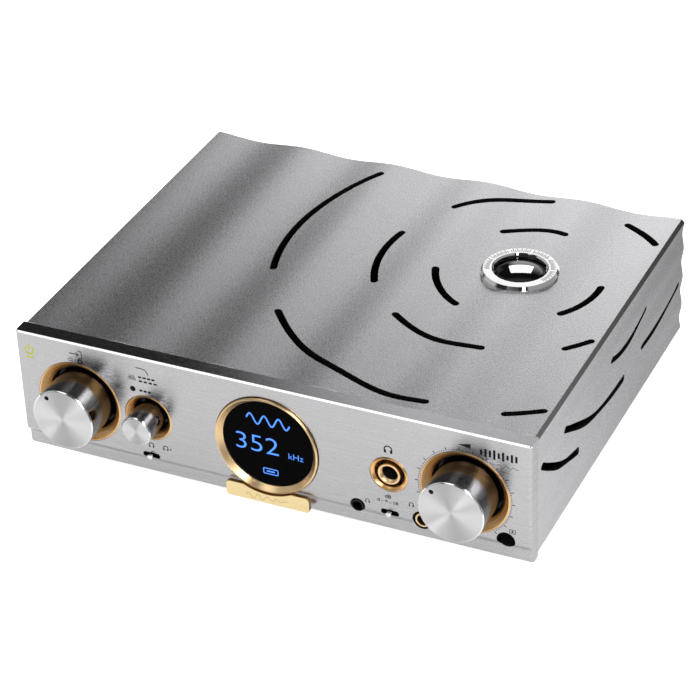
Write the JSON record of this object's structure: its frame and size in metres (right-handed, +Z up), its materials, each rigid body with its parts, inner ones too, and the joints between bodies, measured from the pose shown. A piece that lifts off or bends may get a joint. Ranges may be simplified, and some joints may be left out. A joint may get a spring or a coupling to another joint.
{
  "type": "headphone amplifier",
  "caption": "Desktop headphone amplifier: rippled slotted metal sleeve, thick front panel with turned knobs, round display, headphone sockets and slide switches.",
  "frame": {"origin": "on the ground, under the middle of the overall box (knob faces to rear sockets)", "axes": "+X to the right of someone facing the front, +Y from the front panel to the rear panel, +Z up"},
  "size_m": [0.213, 0.197, 0.0648],
  "materials": {
    "blasted_aluminium": "bead-blasted satin silver grey",
    "brushed_aluminium": "brushed across the width",
    "dark_chrome": "mirror polished, spun face",
    "satin_gold": "satin gold plate",
    "steel": "plain turned steel",
    "brass": "cut brass",
    "black_plastic": "glossy black moulding",
    "dark_glass": "black tinted, polished",
    "tube_glass": "clear",
    "rubber": "matt",
    "circuit_board": "solder-masked laminate",
    "white_nylon": "natural nylon",
    "black_ink": "printed marking",
    "display_light": "lit display segment"
  },
  "bodies": {
    "root": {"balanced_output_left": "black_plastic", "balanced_output_right": "black_plastic", "balanced_socket": "black_plastic", "balanced_socket_trim": "satin_gold", "case_sleeve": "blasted_aluminium", "coaxial_input": "steel", "display_bezel": "satin_gold", "display_glass": "dark_glass", "display_module": "black_plastic", "filter_encoder": "black_plastic", "filter_trim_ring": "satin_gold", "foot_1": "rubber", "foot_2": "rubber", "foot_3": "rubber", "foot_4": "rubber", "front_board": "circuit_board", "front_panel": "brushed_aluminium", "gain_switch_body": "black_plastic", "input_encoder": "black_plastic", "input_trim_ring": "satin_gold", "line_output_left": "satin_gold", "line_output_right": "satin_gold", "main_board": "circuit_board", "mini_socket": "black_plastic", "mode_switch_body": "black_plastic", "nameplate": "satin_gold", "network_port": "steel", "phone_socket_body": "black_plastic", "phone_socket_bush": "satin_gold", "phone_socket_trim": "satin_gold", "power_inlet": "black_plastic", "rear_panel": "blasted_aluminium", "rear_screw_1": "steel", "rear_screw_2": "steel", "rear_screw_3": "steel", "rear_screw_4": "steel", "remote_lens": "dark_glass", "remote_receiver": "black_plastic", "tube_board": "circuit_board", "tube_left": "tube_glass", "tube_right": "tube_glass", "usb_input": "steel", "volume_motor": "steel", "volume_potentiometer": "black_plastic", "volume_trim_ring": "satin_gold", "window_lens": "dark_glass", "window_ring": "dark_chrome"},
    "input_press": {"input_push_rod": "white_nylon"},
    "input_dial": {"input_knob": "dark_chrome", "input_shaft": "steel"},
    "filter_press": {"filter_push_rod": "white_nylon"},
    "filter_dial": {"filter_knob": "dark_chrome", "filter_shaft": "steel", "filter_set_screw": "steel"},
    "volume_dial": {"volume_knob": "dark_chrome", "volume_shaft": "steel", "volume_drive_gear": "white_nylon"},
    "motor_rotor": {"motor_pinion": "brass"},
    "mode_lever": {"mode_switch_lever": "black_plastic"},
    "gain_lever": {"gain_switch_lever": "black_plastic"}
  },
  "joints": [
    {"name": "input_press", "type": "slide", "parent": "root", "child": "input_press", "axis": [0, 1, 0], "range_m": [0, 0.0005], "stiffness_N_per_m": 2000},
    {"name": "input_turn", "type": "hinge", "parent": "input_press", "child": "input_dial", "pos_m": [-0.0805, -0.08495, 0.0365], "axis": [0, 1, 0], "continuous": true},
    {"name": "filter_press", "type": "slide", "parent": "root", "child": "filter_press", "axis": [0, 1, 0], "range_m": [0, 0.0005], "stiffness_N_per_m": 2000},
    {"name": "filter_turn", "type": "hinge", "parent": "filter_press", "child": "filter_dial", "pos_m": [-0.0505, -0.08495, 0.0365], "axis": [0, 1, 0], "continuous": true},
    {"name": "volume_turn", "type": "hinge", "parent": "root", "child": "volume_dial", "pos_m": [0.0804, -0.08495, 0.0365], "axis": [0, 1, 0], "range_deg": [-105, 195]},
    {"name": "motor_turn", "type": "hinge", "parent": "root", "child": "motor_rotor", "pos_m": [0.06735, -0.08495, 0.0365], "axis": [0, 1, 0], "range_deg": [-651, 351]},
    {"name": "mode_slide", "type": "slide", "parent": "root", "child": "mode_lever", "axis": [1, 0, 0], "range_m": [-0.002, 0.002]},
    {"name": "gain_slide", "type": "slide", "parent": "root", "child": "gain_lever", "axis": [1, 0, 0], "range_m": [-0.002, 0.002]}
  ],
  "couplings": [
    {"joint": "motor_turn", "follows": "volume_turn", "ratio": -3.3333}
  ]
}
